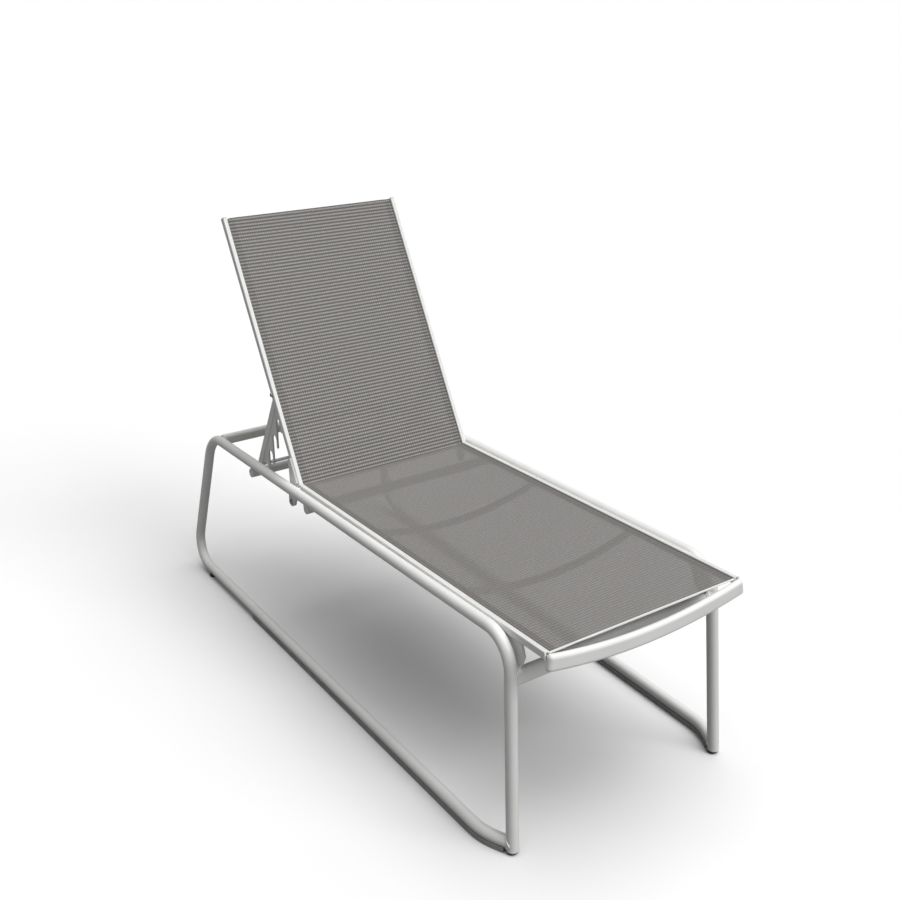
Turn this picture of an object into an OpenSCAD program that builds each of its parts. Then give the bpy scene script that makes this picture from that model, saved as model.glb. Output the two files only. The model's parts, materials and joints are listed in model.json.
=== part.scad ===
// Sling chaise lounge with sled side frames and a notched back support.
// X runs across the seat, Y from the foot end to the head end, and Z up from the floor.
// Left and right are the sides of someone lying on it: left is +X and right is -X.

/* [Seat and back] */
// Height of the sling at the crease, where the seat meets the back
seat_h = 472; // [430:1:500]
// Fall of the seat from the foot end to the head end, in degrees
deck_tilt = 2.2; // [0:0.1:3]
// Length of the seat from its foot hem to the crease
seat_l = 1057; // [1030:1:1120]
// Length of the back from the crease to its top
back_l = 756; // [700:1:820]
// Clear width of the slings between the rails
sling_w = 520; // [480:1:560]
// Angle between the deck and the raised back, in degrees
back_angle = 62; // [58:0.5:64]

/* [Side frames] */
// Outside diameter of the round frame tube
tube_d = 28; // [25:0.5:30]
// Centreline radius of the bends in the upright plane
bend_r = 80; // [70:1:95]
// Centreline radius of the bend that brings each runner in to the front leg
toe_bend_r = 160; // [120:1:190]
// Distance from the crease forward to the front top corner
front_reach = 964; // [940:1:985]
// Distance from the crease back to the rear top corner
rear_reach = 531; // [515:1:560]
// Distance that the front legs lean forward
front_rake = 46; // [30:1:60]
// Distance that the rear legs lean back
rear_rake = 70; // [50:1:85]
// Distance that the front legs lean outwards
front_splay = 17; // [10:1:25]
// Distance that the rear legs lean outwards
rear_splay = 55; // [40:1:65]
// Distance that the top tubes spread apart from front to rear, on each side
top_spread = 11; // [6:1:16]
// Distance that each runner stands outside its front foot, at the toe bend
toe_out = 32; // [24:1:40]
// Distance of the toe bend behind the front foot
toe_back = 66; // [56:1:76]
// Clear height under the frame tube
ground_gap = 10; // [8:0.5:14]

/* [Rails and bows] */
// Width of a sling rail
rail_w = 12; // [12:0.5:15]
// Height of a sling rail
rail_h = 18; // [17.5:0.5:22]
// Height of the rail above the sling
rail_lip = 5; // [4.5:0.1:6]
// Diameter of the bows under the sling
bow_d = 18; // [16:0.5:22]
// Dip of the bows under the seat
seat_bow_sag = 42; // [25:1:60]
// Dip of the bow behind the top of the back
back_bow_sag = 48; // [30:1:60]
// Height of the flat oval foot bow
foot_bow_h = 38; // [32:0.5:42]
// Thickness of the flat oval foot bow
foot_bow_t = 18; // [14:0.5:22]
// Dip of the foot bow
foot_bow_sag = 26; // [15:1:35]

/* [Crossbars] */
// Diameter of the round crossbars
bar_d = 25; // [22:0.5:27]
// Distance from the crease forward to the hinge crossbar
hinge_bar_y = 98; // [80:1:130]
// Distance from the crease back to the catch crossbar
catch_bar_y = 236; // [215:1:240]
// Depth of the middle of the catch crossbar below the sling
catch_bar_drop = 31.5; // [31:0.5:33]
// Distance from the crease back to the rear crossbar
rear_bar_y = 466; // [456:1:470]
// Depth of the middle of the rear crossbar below the sling
rear_bar_drop = 3; // [2:0.5:6]
// Height of the flat oval rear crossbar
rear_bar_h = 32; // [28:0.5:33]
// Thickness of the flat oval rear crossbar
rear_bar_t = 22; // [18:0.5:25]
// Height of the flat oval front crossbar
front_bar_h = 40; // [34:1:44]
// Thickness of the flat oval front crossbar
front_bar_t = 22; // [18:1:25]
// Drop from the seat rail to the top of the front crossbar
front_bar_drop = 60; // [50:1:66]

/* [Hinge and support] */
// Distance of the hinge pin behind the crease
pivot_back = 34; // [30:0.5:40]
// Distance of the hinge pin below the sling
pivot_drop = 55; // [50:0.5:60]
// Distance of the support pivot up the back from the crease
prop_up = 258; // [245:1:265]
// Width of a support leg
leg_w = 20; // [18:0.5:21]
// Thickness of a support leg
leg_t = 10; // [8:0.5:12]
// Distance between the notches of the support
notch_pitch = 65; // [64:0.5:68]
// Distance of the notches in front of the middle of the leg
notch_out = 39; // [36:0.5:42]
// Thickness of the plate that the notches are cut in
rack_t = 5; // [4:0.5:6]

/* [Hidden] */
round_fn = 64;
arc_fn = 720;
$fn = round_fn;

// Colours of the finishes
frame_white = "#E4E4E2";
sling_grey = "#84827F";
plastic_grey = "#6A6A6B";
fixing_grey = "#A3A4A5";

// Clearances and small sizes that several pieces share
weld_gap = 0.05;
rest_gap = 0.3;
pin_gap = 0.05;
overrun = 5;
lap = 1.5;
tube_r = tube_d / 2;
bar_r = bar_d / 2;
runner_z = ground_gap + tube_r;

// The slings and what holds them
sling_t = 1.2;
hem_inset = 4;
crease_inset = 1;
slot_h = 2;
channel_r = 3.2;
spline_r = 2.5;
hem_loop_r = 3.05;
loop_gap = 0.1;
channel_x = rail_w / 2;
rail_corner_r = 3;
rail_wall = 2.5;
rail_floor = 2;
rail_web = 1.8;
rail_line_w = 1.2;
rail_line_d = 0.8;
plug_t = 3;
plug_gap = 0.2;
plug_tail = 12;
rail_in = sling_w / 2;
rail_out = rail_in + rail_w;
rail_base = rail_h - rail_lip;
rail_rear_gap = 10;

// The tube's place beside the rail
tube_drop = 6;
rail_to_tube = 0.8;
top_x_front = rail_out + rail_to_tube + tube_r;
top_x_rear = top_x_front + top_spread;
foot_x = top_x_front + front_splay;
toe_x = foot_x + toe_out;
rear_x = top_x_rear + rear_splay;

// The raised back, its hinge pin and the pivot of the support, in the plane of the deck
back_start = pivot_drop * sin(back_angle) - pivot_back * cos(back_angle);
back_rise = pivot_drop * cos(back_angle) + pivot_back * sin(back_angle);
chamber_top = -channel_r - rail_web;
chamber_floor = rail_floor - rail_base;
chamber_mid = (chamber_top + chamber_floor) / 2;
prop_y = back_start + prop_up;
prop_z = back_rise + chamber_mid;
pin_r = 4;
prop_pin_r = 3;

// A point of the raised back's own plane as a point of the deck's plane
function back_to_deck(y, z) = [
    pivot_back + y * cos(back_angle) - z * sin(back_angle),
    -pivot_drop + y * sin(back_angle) + z * cos(back_angle)
];

// The support leg hangs from its pivot and passes just behind the catch crossbar
prop_pivot = back_to_deck(prop_y, prop_z);
catch_bar = [catch_bar_y, -catch_bar_drop];
bar_dy = catch_bar[0] - prop_pivot[0];
bar_dz = catch_bar[1] - prop_pivot[1];
bar_reach = norm([bar_dy, bar_dz]);
notch_r = bar_r + 2 * weld_gap + rest_gap;
leg_turn = atan2(bar_dz, bar_dy) + asin(notch_out / bar_reach);
bar_along = sqrt(bar_reach * bar_reach - notch_out * notch_out);
leg_tail = 22;
leg_l = bar_along + leg_tail;
rod_d = 10;

// The deck's plane starts at the crease, and these turn its points into places above the floor
function deck_y(y, z) = y * cos(deck_tilt) + z * sin(deck_tilt);
function deck_z(y, z) = seat_h - y * sin(deck_tilt) + z * cos(deck_tilt);

function unit(v) = v / norm(v);
function turn(u, v) = acos(u * v);

// Corners of the left side frame, measured along Y from the crease. The front leg stands a little
// lower than the runner.
front_foot_y = -front_reach - front_rake;
front_top_z = deck_z(-front_reach, -tube_drop);
rear_foot_y = rear_reach + rear_rake;
foot_drop = 1;
foot_z = ground_gap - foot_drop;
foot_joint = [foot_x, front_foot_y, runner_z];
front_top = [top_x_front, -front_reach, front_top_z];
rear_top = [top_x_rear, rear_reach, deck_z(rear_reach, -tube_drop)];
rear_foot = [rear_x, rear_foot_y, runner_z];
toe = [toe_x, front_foot_y + toe_back, runner_z];
foot_end = foot_joint + tube_d * unit(foot_joint - front_top);

// The rearmost point of the bend behind the runner
rear_down = unit(rear_foot - rear_top);
runner_way = unit(toe - rear_foot);
rear_inward = unit(runner_way - (rear_down * runner_way) * rear_down);
rear_trim = bend_r * tan(turn(rear_down, runner_way) / 2);
rear_centre_y = (rear_foot - rear_trim * rear_down + bend_r * rear_inward)[1];
rear_sideways = unit(cross(rear_down, runner_way))[1];
rear_edge_y = rear_centre_y + bend_r * sqrt(1 - rear_sideways * rear_sideways) + tube_r - weld_gap;

// The origin is the middle of the floor under the whole piece
foot_bow_y = -seat_l - foot_bow_t / 2;
foot_bow_drop = 16;
foot_bow_low = foot_bow_drop + foot_bow_sag + (foot_bow_h - foot_bow_t) / 2;
foot_bow_edge = deck_y(foot_bow_y - foot_bow_t / 2, -foot_bow_low);
crease_y = -(rear_edge_y + foot_bow_edge) / 2;

module from_crease() {
    translate([0, crease_y, 0]) children();
}

module on_deck() {
    translate([0, crease_y, seat_h]) rotate([-deck_tilt, 0, 0]) children();
}

module on_back() {
    on_deck() translate([0, pivot_back, -pivot_drop]) rotate([back_angle, 0, 0]) children();
}

// Along a support leg Y runs down the leg and -Z points forward, to the notches
module on_prop() {
    on_deck() translate([0, prop_pivot[0], prop_pivot[1]]) rotate([leg_turn, 0, 0]) children();
}

// The left piece, and its mirror image on the right
module both_sides() {
    children();
    mirror([1, 0, 0]) children();
}

// A flat outline drawn in Y and Z, made thick along X
module thick_x(t) {
    rotate([90, 0, 90]) linear_extrude(t) children();
}

// A flat outline drawn in X and Z, made long along Y
module long_y(l) {
    translate([0, l, 0]) rotate([90, 0, 0]) linear_extrude(l) children();
}

module rod_x(x0, x1, r) {
    translate([x0, 0, 0]) rotate([0, 90, 0]) cylinder(r = r, h = x1 - x0);
}

module rounded_box(w, h, r) {
    square([w - 2 * r, h], center = true);
    square([w, h - 2 * r], center = true);
    for (x = [-1, 1], y = [-1, 1]) translate([x * (w / 2 - r), y * (h / 2 - r)]) circle(r = r);
}

// The outline between two parallel straight sides and two half rounds
module oval(w, h) {
    square([w, h - w], center = true);
    for (y = [-1, 1]) translate([0, y * (h - w) / 2]) circle(d = w);
}

// Bent tube: straight runs between the corners, with a bend at each. The bends are drawn a hair
// thinner than the straights and start a little way inside them. The first run is a hair thicker,
// so that the last can end inside its wall.
function axes(x, y, z, o) = [
    [x[0], y[0], z[0], o[0]],
    [x[1], y[1], z[1], o[1]],
    [x[2], y[2], z[2], o[2]],
    [0, 0, 0, 1]
];
function cross_axis(z) = unit(cross([1, 0, 0], z));
function trim(points, radii, i) =
    i == 0 || i == len(points) - 1 ? 0
    : radii[i] * tan(turn(unit(points[i] - points[i - 1]), unit(points[i + 1] - points[i])) / 2);

module rod(p, q, d) {
    z = unit(q - p);
    y = cross_axis(z);
    multmatrix(axes(cross(y, z), y, z, p)) cylinder(d = d, h = norm(q - p));
}

module bend(start, u, v, r, d) {
    inward = unit(v - (u * v) * u);
    multmatrix(axes(-inward, u, cross(u, inward), start + r * inward))
        rotate_extrude(angle = turn(u, v), $fn = arc_fn) translate([r, 0]) circle(d = d, $fn = round_fn);
}

module bent_tube(points, radii, d) {
    for (i = [0 : len(points) - 2]) {
        u = unit(points[i + 1] - points[i]);
        start = trim(points, radii, i) - (i > 0 ? lap : 0);
        end = trim(points, radii, i + 1) - (i < len(points) - 2 ? lap : 0);
        rod(points[i] + u * start, points[i + 1] - u * end, d + (i == 0 ? 2 * weld_gap : 0));
    }
    for (i = [1 : len(points) - 2]) {
        u = unit(points[i] - points[i - 1]);
        v = unit(points[i + 1] - points[i]);
        bend(points[i] - u * trim(points, radii, i), u, v, radii[i], d - 2 * weld_gap);
    }
}

// The loop: up the front leg, back along the top, down the rear leg and forward to the foot,
// where it is welded to the leg that it started from
module left_loop() {
    from_crease() difference() {
        bent_tube([foot_end, front_top, rear_top, rear_foot, toe, foot_joint],
                  [0, bend_r, bend_r, bend_r, toe_bend_r, 0], tube_d);
        translate([foot_x - tube_d, front_foot_y - tube_d, foot_z - tube_d])
            cube([2 * tube_d, 2 * tube_d, tube_d]);
    }
}

// Straight stretches of the loop, a little larger, for cutting what is welded or fitted to them
module left_top_cut() from_crease() rod(front_top, rear_top, tube_d + 2 * weld_gap);
module left_leg_cut() from_crease() rod(foot_end, front_top, tube_d + 4 * weld_gap);
module left_runner_cut() from_crease() rod(rear_foot, toe, tube_d + 2 * weld_gap);

module left_side_frame() color(frame_white) left_loop();
module right_side_frame() color(frame_white) mirror([1, 0, 0]) left_loop();

// Half width between the centres of the top tubes at a distance behind the crease
function top_x(y) = top_x_front + top_spread * (y + front_reach) / (front_reach + rear_reach);

// A round crossbar welded under the top tubes, its ends just inside their outer sides
under_bar_inset = 3;
module under_bar(y, drop) {
    color(frame_white) difference() {
        end = top_x(y) + tube_r - under_bar_inset;
        on_deck() translate([0, y, -drop]) rod_x(-end, end, bar_r);
        both_sides() left_top_cut();
    }
}

module catch_crossbar() under_bar(catch_bar_y, catch_bar_drop);
module hinge_crossbar() under_bar(-hinge_bar_y, rail_base + bar_r);

// The flat oval rear crossbar stands between the top tubes and is coped to them
module rear_crossbar() {
    color(frame_white) difference() {
        end = top_x(rear_bar_y) - tube_r / 2;
        on_deck() translate([-end, rear_bar_y, -rear_bar_drop])
            thick_x(2 * end) oval(rear_bar_t, rear_bar_h);
        both_sides() left_top_cut();
    }
}

// The front crossbar stands between the front legs, below the seat rails
front_bar_top = deck_z(-front_reach, -rail_base) - front_bar_drop;
front_bar_z = front_bar_top - front_bar_h / 2;
front_bar_fall = (front_top_z - front_bar_z) / (front_top_z - runner_z);
front_bar_y = -front_reach - front_rake * front_bar_fall;
front_bar_x = top_x_front + front_splay * front_bar_fall;

module front_crossbar() {
    color(frame_white) difference() {
        translate([-front_bar_x, crease_y + front_bar_y, front_bar_z])
            thick_x(2 * front_bar_x) oval(front_bar_t, front_bar_h);
        both_sides() left_leg_cut();
    }
}

// Gusset plates that carry the seat rails on the front crossbar
bracket_t = 5;
bracket_nose = 12;
bracket_nose_drop = 30;
bracket_back = 40;
bracket_top_back = 62;

module rail_brackets() {
    top_front = -front_reach - bracket_nose;
    top_rear = top_front + bracket_top_back;
    seat_y = front_bar_y;
    color(frame_white) both_sides() difference() {
        translate([(rail_in + rail_out - bracket_t) / 2, crease_y, 0]) thick_x(bracket_t) polygon([
            [deck_y(top_front, -rail_base), deck_z(top_front, -rail_base)],
            [deck_y(top_front - bracket_nose, 0), deck_z(top_front, -rail_base) - bracket_nose_drop],
            [seat_y, front_bar_top - front_bar_t / 2],
            [seat_y + bracket_back / 2, front_bar_top - front_bar_t / 2],
            [deck_y(top_rear, -rail_base), deck_z(top_rear, -rail_base)]
        ]);
        translate([0, crease_y + front_bar_y, front_bar_z])
            thick_x(rail_out + overrun) oval(front_bar_t + 2 * weld_gap, front_bar_h + 2 * weld_gap);
    }
}

// Extruded rail: a spline channel that opens inwards, a line along its top and a hollow base
module rail_outline() {
    difference() {
        translate([rail_w / 2, rail_lip - rail_h / 2]) rounded_box(rail_w, rail_h, rail_corner_r);
        translate([channel_x, 0]) circle(r = channel_r);
        translate([-overrun, -slot_h / 2]) square([overrun + channel_x, slot_h]);
        translate([(rail_w - rail_line_w) / 2, rail_lip - rail_line_d]) square([rail_line_w, overrun]);
        rail_chamber(0);
    }
}

module rail_chamber(gap) {
    w = rail_w - 2 * rail_wall - 2 * gap;
    h = chamber_top - chamber_floor - 2 * gap;
    translate([rail_w / 2, chamber_mid]) square([w, h], center = true);
}

seat_rail_l = seat_l - rail_rear_gap;

module left_seat_rail() {
    color(frame_white) on_deck() translate([rail_in, -seat_l, 0]) long_y(seat_rail_l) rail_outline();
}

module right_seat_rail() mirror([1, 0, 0]) left_seat_rail();

// The back rail is bored through its hollow base for the pivot of the support
module left_back_rail() {
    color(frame_white) on_back() difference() {
        translate([rail_in, back_start, back_rise]) long_y(back_l) rail_outline();
        translate([0, prop_y, prop_z]) rod_x(rail_in - overrun, rail_out + overrun, prop_pin_r + pin_gap);
    }
}

module right_back_rail() mirror([1, 0, 0]) left_back_rail();

// Plugs that close the ends of a rail, with a tail in its hollow base
module plug(inwards) {
    long_y(plug_t) difference() {
        translate([rail_w / 2, rail_lip - rail_h / 2]) rounded_box(rail_w, rail_h, rail_corner_r);
        translate([channel_x, 0]) circle(r = channel_r);
        translate([-overrun, -slot_h / 2]) square([overrun + channel_x, slot_h]);
    }
    translate([0, inwards > 0 ? plug_t : -plug_tail, 0]) long_y(plug_tail) rail_chamber(plug_gap);
}

module seat_rail_plugs() {
    color(plastic_grey) on_deck() both_sides() translate([rail_in, -rail_rear_gap, 0]) plug(-1);
}

module back_rail_plugs() {
    color(plastic_grey) on_back() both_sides() {
        translate([rail_in, back_start - plug_t, back_rise]) plug(1);
        translate([rail_in, back_start + back_l, back_rise]) plug(-1);
    }
}

// A sling: a flat sheet whose side hems wrap the splines inside the rails
module sling(l) {
    reach = rail_in + channel_x;
    difference() {
        union() {
            translate([-reach, 0, -sling_t / 2]) cube([2 * reach, l, sling_t]);
            both_sides() translate([reach, 0, 0]) long_y(l) circle(r = hem_loop_r);
        }
        both_sides() translate([reach, -overrun, 0]) long_y(l + 2 * overrun) circle(r = spline_r + loop_gap);
    }
}

module splines(l) {
    both_sides() translate([rail_in + channel_x, 0, 0]) long_y(l) circle(r = spline_r);
}

seat_sling_l = seat_rail_l - hem_inset - crease_inset;
back_sling_l = back_l - hem_inset - crease_inset;

module seat_sling() {
    color(sling_grey) on_deck() translate([0, -seat_l + hem_inset, 0]) sling(seat_sling_l);
}

module seat_splines() {
    color(plastic_grey) on_deck() translate([0, -seat_l + hem_inset, 0]) splines(seat_sling_l);
}

module back_sling() {
    color(sling_grey) on_back() translate([0, back_start + crease_inset, back_rise]) sling(back_sling_l);
}

module back_splines() {
    color(plastic_grey) on_back() translate([0, back_start + crease_inset, back_rise]) splines(back_sling_l);
}

// White bar along the foot hem of the seat sling
module foot_hem_bar() {
    gap = loop_gap;
    color(frame_white) on_deck() translate([-rail_in + gap, -seat_l + gap, -sling_t])
        cube([sling_w - 2 * gap, hem_inset - 2 * gap, 2 * sling_t]);
}

// A bow is an arc of tube between two rails: x_end is its half span and sag its dip
function bow_r(x_end, sag) = (x_end * x_end + sag * sag) / (2 * sag);

module bow_arc(x_end, sag) {
    r = bow_r(x_end, sag);
    half = asin(x_end / r);
    translate([0, 0, r - sag]) rotate([90, 0, 0]) rotate([0, 0, -90 - half])
        rotate_extrude(angle = 2 * half, $fn = arc_fn) translate([r, 0]) children();
}

// Round bow cut square where it meets the inner faces of the rails
bow_over = 6;
bow_clear = 1.4;
bow_drop = bow_d / 2 + sling_t / 2 + bow_clear;

module round_bow(sag) {
    intersection() {
        bow_arc(rail_in + bow_over, sag * (1 + bow_over / rail_in)) circle(d = bow_d, $fn = round_fn);
        cube([sling_w, 2 * bow_d, 2 * (sag + bow_d)], center = true);
    }
}

front_bow_share = 0.68;
rear_bow_share = 0.32;

module seat_bow(share) {
    color(frame_white) on_deck() translate([0, -seat_l * share, -bow_drop]) round_bow(seat_bow_sag);
}

module front_seat_bow() seat_bow(front_bow_share);
module rear_seat_bow() seat_bow(rear_bow_share);

back_bow_below = 21;
module back_top_bow() {
    color(frame_white) on_back() translate([0, back_start + back_l - back_bow_below, back_rise - bow_drop])
        round_bow(back_bow_sag);
}

// Flat oval foot bow across the front ends of the rails, and the domed caps of its ends
foot_bow_out = 2;
foot_bow_end = rail_out + foot_bow_out - foot_bow_t / 2;
foot_bow_half = asin(foot_bow_end / bow_r(foot_bow_end, foot_bow_sag));

module foot_bow() {
    color(frame_white) on_deck() translate([0, foot_bow_y, -foot_bow_drop])
        bow_arc(foot_bow_end, foot_bow_sag) rotate(90) oval(foot_bow_t, foot_bow_h, $fn = round_fn);
}

module foot_bow_caps() {
    color(frame_white) on_deck() translate([0, foot_bow_y, -foot_bow_drop]) both_sides()
        translate([foot_bow_end, 0, 0]) rotate([0, -foot_bow_half, 0]) translate([weld_gap, 0, 0])
            rotate([0, 0, -90]) rotate_extrude(angle = 180) intersection() {
                oval(foot_bow_t, foot_bow_h);
                translate([0, -foot_bow_h / 2]) square([foot_bow_t / 2, foot_bow_h]);
            }
}

// Tube that ties the lower ends of the back rails together
bottom_tube_d = 19;
bottom_tube_up = 30;
module back_bottom_tube() {
    drop = bottom_tube_d / 2 + sling_t / 2 + bow_clear;
    color(frame_white) on_back() translate([0, back_start + bottom_tube_up, back_rise - drop])
        rod_x(-rail_in, rail_in, bottom_tube_d / 2);
}

// Hinge: a plate on each back rail turns on a pin in a tab under the top tube
hinge_t = 4;
tab_t = 5;
washer_t = 1;
hinge_eye_r = 13;
hinge_in = rail_out;
tab_in = rail_out + hinge_t + washer_t;
plate_low = 8;
plate_high = 78;
plate_corner_r = 6;
web_r = 11.5;

module hinge_plates() {
    color(frame_white) on_back() both_sides() translate([hinge_in, 0, 0]) thick_x(hinge_t) difference() {
        union() {
            circle(r = hinge_eye_r);
            polygon([
                [-web_r, 0],
                [back_start + plate_low, back_rise - rail_base + plate_corner_r],
                [back_start + plate_low, back_rise],
                [back_start + plate_high, back_rise],
                [back_start + plate_high, back_rise - rail_base],
                [web_r * sin(45), -web_r * cos(45)]
            ]);
        }
        circle(r = pin_r + pin_gap);
    }
}

module hinge_tabs() {
    color(frame_white) both_sides() difference() {
        on_deck() translate([tab_in, pivot_back, -pivot_drop]) thick_x(tab_t) difference() {
            union() {
                circle(r = hinge_eye_r);
                translate([-hinge_eye_r, 0]) square([2 * hinge_eye_r, pivot_drop - tube_drop]);
            }
            circle(r = pin_r + pin_gap);
        }
        left_top_cut();
    }
}

// Pins with a round head outside and a nut inside, and the washers that space the plates
head_share = 2;
head_t = 4;
nut_share = 1.75;
nut_t = 5;
washer_share = 2;
pin_tail = 1;

module pin(x_head, x_nut, r) {
    rod_x(x_nut, x_head, r);
    rod_x(x_head, x_head + head_t, head_share * r);
}

module ring_x(x0, t, r_out, r_in) {
    difference() {
        rod_x(x0, x0 + t, r_out);
        rod_x(x0 - overrun, x0 + t + overrun, r_in);
    }
}

module hinge_bolts() {
    color(fixing_grey) on_deck() both_sides() translate([0, pivot_back, -pivot_drop])
        pin(tab_in + tab_t, hinge_in - nut_t - pin_tail, pin_r);
}

module hinge_washers() {
    color(fixing_grey) on_deck() both_sides() translate([0, pivot_back, -pivot_drop])
        ring_x(hinge_in + hinge_t + pin_gap, washer_t - 2 * pin_gap, washer_share * pin_r, pin_r + pin_gap);
}

module hinge_nuts() {
    color(fixing_grey) on_deck() both_sides() translate([0, pivot_back, -pivot_drop])
        ring_x(hinge_in - nut_t - rest_gap, nut_t, nut_share * pin_r, pin_r + pin_gap);
}

// The support legs hang inside the back rails, a washer away
prop_out = rail_in - washer_t;

module pivot_bolts() {
    color(fixing_grey) on_back() both_sides() translate([0, prop_y, prop_z])
        pin(rail_out, prop_out - leg_t - nut_t - pin_tail, prop_pin_r);
}

module pivot_washers() {
    color(fixing_grey) on_back() both_sides() translate([0, prop_y, prop_z])
        ring_x(prop_out + pin_gap, washer_t - 2 * pin_gap, washer_share * prop_pin_r, prop_pin_r + pin_gap);
}

module pivot_nuts() {
    color(fixing_grey) on_back() both_sides() translate([0, prop_y, prop_z])
        ring_x(prop_out - leg_t - nut_t - rest_gap, nut_t, nut_share * prop_pin_r, prop_pin_r + pin_gap);
}

// Notched plate: each notch opens downwards between a long finger and the tooth below it. The
// lowest is an open step with no finger, so that the raised back can leave it.
finger_t = 5;
finger_l = 22;
step_gap = 5.5;
top_tooth_h = 40;
hook_turn = 90 + leg_turn - deck_tilt;
tooth_h = notch_pitch * cos(hook_turn) + weld_gap;
notches = 4;

// A tooth is drawn upright at rest, with the bar's centre at its origin and the front at -Y
module tooth(i) {
    front = -notch_r - finger_t;
    back = notch_out / cos(hook_turn);
    floor_z = i == 0 ? bar_r + step_gap : 0;
    difference() {
        union() {
            polygon([
                [front, floor_z],
                [back - floor_z * tan(hook_turn), floor_z],
                [back - tooth_h * tan(hook_turn), tooth_h],
                [front, i == notches - 1 ? top_tooth_h : tooth_h]
            ]);
            if (i > 0) translate([front, -finger_l]) square([finger_t, finger_l + finger_t]);
        }
        if (i > 0) circle(r = notch_r);
    }
}

// The leg narrows to a round head at its pivot, so that it turns clear of the sling
leg_head_r = -chamber_mid - sling_t / 2 - rest_gap - weld_gap;
leg_taper = 12;

module leg_outline() {
    polygon([
        [0, -leg_head_r],
        [leg_taper, -leg_w / 2],
        [leg_l, -leg_w / 2],
        [leg_l, leg_w / 2],
        [leg_taper, leg_w / 2],
        [0, leg_head_r]
    ]);
    circle(r = leg_head_r);
    translate([leg_l, 0]) circle(d = leg_w);
}

module left_prop_leg() {
    color(frame_white) on_prop() {
        difference() {
            union() {
                translate([prop_out - leg_t, 0, 0]) thick_x(leg_t) leg_outline();
                translate([prop_out - (leg_t + rack_t) / 2, 0, 0]) thick_x(rack_t)
                    for (i = [0 : notches - 1]) translate([bar_along - i * notch_pitch, -notch_out])
                        rotate(-leg_turn + deck_tilt) tooth(i);
            }
            rod_x(prop_out - leg_t - overrun, prop_out + overrun, prop_pin_r + pin_gap);
        }
    }
}

module right_prop_leg() mirror([1, 0, 0]) left_prop_leg();

module prop_tie_rod() {
    color(frame_white) on_prop() translate([0, leg_l, 0])
        rod_x(-prop_out + leg_t, prop_out - leg_t, rod_d / 2);
}

// Feet: a glide under each leg and a skid strip along each runner
glide_r = 13;
glide_neck_r = 10;
glide_edge = 3;
rear_glide_y = rear_centre_y - tube_d;
runner_lean = atan2(rear_foot[0] - toe[0], rear_foot[1] - toe[1]);
rear_glide_x = toe_x + (rear_glide_y - toe[1]) * tan(runner_lean);

module glide(h) {
    rotate_extrude() polygon([
        [0, 0],
        [glide_r - glide_edge, 0],
        [glide_r, glide_edge],
        [glide_r, foot_z - glide_edge],
        [glide_neck_r, foot_z - weld_gap],
        [glide_neck_r, h],
        [0, h]
    ]);
}

glide_saddle = 4;
module foot_glides() {
    color(plastic_grey) both_sides() {
        from_crease() translate([foot_x, front_foot_y, 0]) glide(foot_z - weld_gap);
        difference() {
            from_crease() translate([rear_glide_x, rear_glide_y, 0]) glide(ground_gap + glide_saddle);
            left_runner_cut();
        }
    }
}

// Screws that hold the glides, their heads on the outer side
screw_head_r = 3;
screw_head_t = 1.2;
module glide_screws() {
    color(fixing_grey) from_crease() both_sides()
        for (p = [[foot_x, front_foot_y], [rear_glide_x, rear_glide_y]])
            translate([p[0] + glide_r, p[1], ground_gap / 2]) rod_x(0, screw_head_t, screw_head_r);
}

// Skid strip: a saddle under the runner, from part of the way back to the front glide
strip_w = 26;
strip_h = 13;
strip_back = 177;
strip_front_gap = 3;

// The bend of the strip is a hair thinner than its straights, as the tube's is
module strip_outline(inset) {
    difference() {
        translate([inset - strip_w / 2, 0]) square([strip_w - 2 * inset, strip_h - inset]);
        translate([0, runner_z]) circle(r = tube_r + weld_gap + inset);
    }
}

// The plan of the runner: its straight, its toe bend and the last run to the foot
toe_turn = atan2(toe_out, toe_back) - runner_lean;
toe_trim = toe_bend_r * tan(toe_turn / 2);
toe_run = norm([toe_out, toe_back]) - toe_trim;

module skid_strips() {
    strip_l = (strip_back - toe[1]) / cos(runner_lean) - toe_trim;
    last_l = toe_run - glide_r - strip_front_gap;
    color(plastic_grey) from_crease() both_sides()
        translate([toe[0], toe[1], 0]) rotate([0, 0, -runner_lean])
            translate([0, toe_trim, 0]) {
                translate([0, -lap, 0]) long_y(strip_l + lap) strip_outline(0);
                translate([-toe_bend_r, 0, 0]) rotate([0, 0, -toe_turn]) {
                    rotate_extrude(angle = toe_turn, $fn = arc_fn) translate([toe_bend_r, 0])
                        strip_outline(weld_gap, $fn = round_fn);
                    translate([toe_bend_r, -last_l, 0]) long_y(last_l + lap) strip_outline(0);
                }
            }
}

left_side_frame();
right_side_frame();
rear_crossbar();
catch_crossbar();
hinge_crossbar();
front_crossbar();
rail_brackets();
left_seat_rail();
right_seat_rail();
foot_bow();
foot_bow_caps();
front_seat_bow();
rear_seat_bow();
hinge_tabs();
seat_sling();
seat_splines();
foot_hem_bar();
seat_rail_plugs();
foot_glides();
glide_screws();
skid_strips();
hinge_bolts();
hinge_nuts();
hinge_washers();
left_back_rail();
right_back_rail();
back_top_bow();
back_bottom_tube();
hinge_plates();
back_sling();
back_splines();
back_rail_plugs();
pivot_bolts();
pivot_nuts();
pivot_washers();
left_prop_leg();
right_prop_leg();
prop_tie_rod();
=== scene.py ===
"""Sling chaise lounge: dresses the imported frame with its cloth, welds, fixings and finishes.

X runs across the seat, Y from the foot end to the head end and Z up from the floor.
Lengths are in metres unless a name or a comment says millimetres.
"""

import json
import math

import bmesh
import bpy
from bpy.props import FloatProperty, FloatVectorProperty, PointerProperty
from mathutils import Matrix, Vector


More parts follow.
